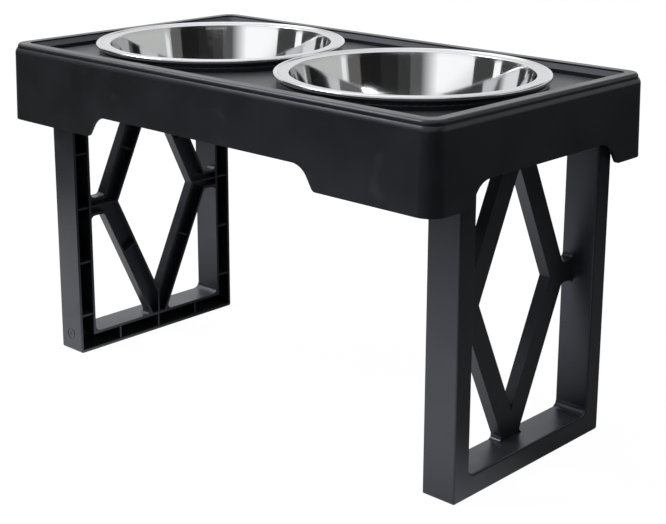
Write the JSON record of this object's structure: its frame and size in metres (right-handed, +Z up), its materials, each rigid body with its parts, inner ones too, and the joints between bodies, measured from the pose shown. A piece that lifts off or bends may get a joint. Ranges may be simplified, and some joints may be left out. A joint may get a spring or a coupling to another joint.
{
  "type": "raised pet feeding stand",
  "caption": "Raised feeding stand for a dog: a moulded tray on clip-in lattice leg panels, with lift-out steel bowls set in its deck.",
  "frame": {"origin": "on the floor under the centre of the tray", "axes": "+X along the tray from the left bowl to the right bowl, +Y across it away from the front, +Z up"},
  "size_m": [0.504, 0.279, 0.3073],
  "materials": {
    "tray_plastic": "satin black moulded polypropylene",
    "leg_plastic": "satin black moulded polypropylene",
    "bowl_steel": "polished inside, satin on the rim"
  },
  "bodies": {
    "tray": {"tray": "tray_plastic"},
    "left_leg": {"leg_panel_left": "leg_plastic"},
    "right_leg": {"leg_panel_right": "leg_plastic"},
    "left_bowl": {"bowl_left": "bowl_steel"},
    "right_bowl": {"bowl_right": "bowl_steel"}
  },
  "joints": [
    {"name": "left_leg_pull", "type": "slide", "parent": "tray", "child": "left_leg", "axis": [0, 0, -1], "range_m": [0, 0.06]},
    {"name": "right_leg_pull", "type": "slide", "parent": "tray", "child": "right_leg", "axis": [0, 0, -1], "range_m": [0, 0.06]},
    {"name": "left_bowl_lift", "type": "slide", "parent": "tray", "child": "left_bowl", "axis": [0, 0, 1], "range_m": [0, 0.07]},
    {"name": "right_bowl_lift", "type": "slide", "parent": "tray", "child": "right_bowl", "axis": [0, 0, 1], "range_m": [0, 0.07]}
  ]
}
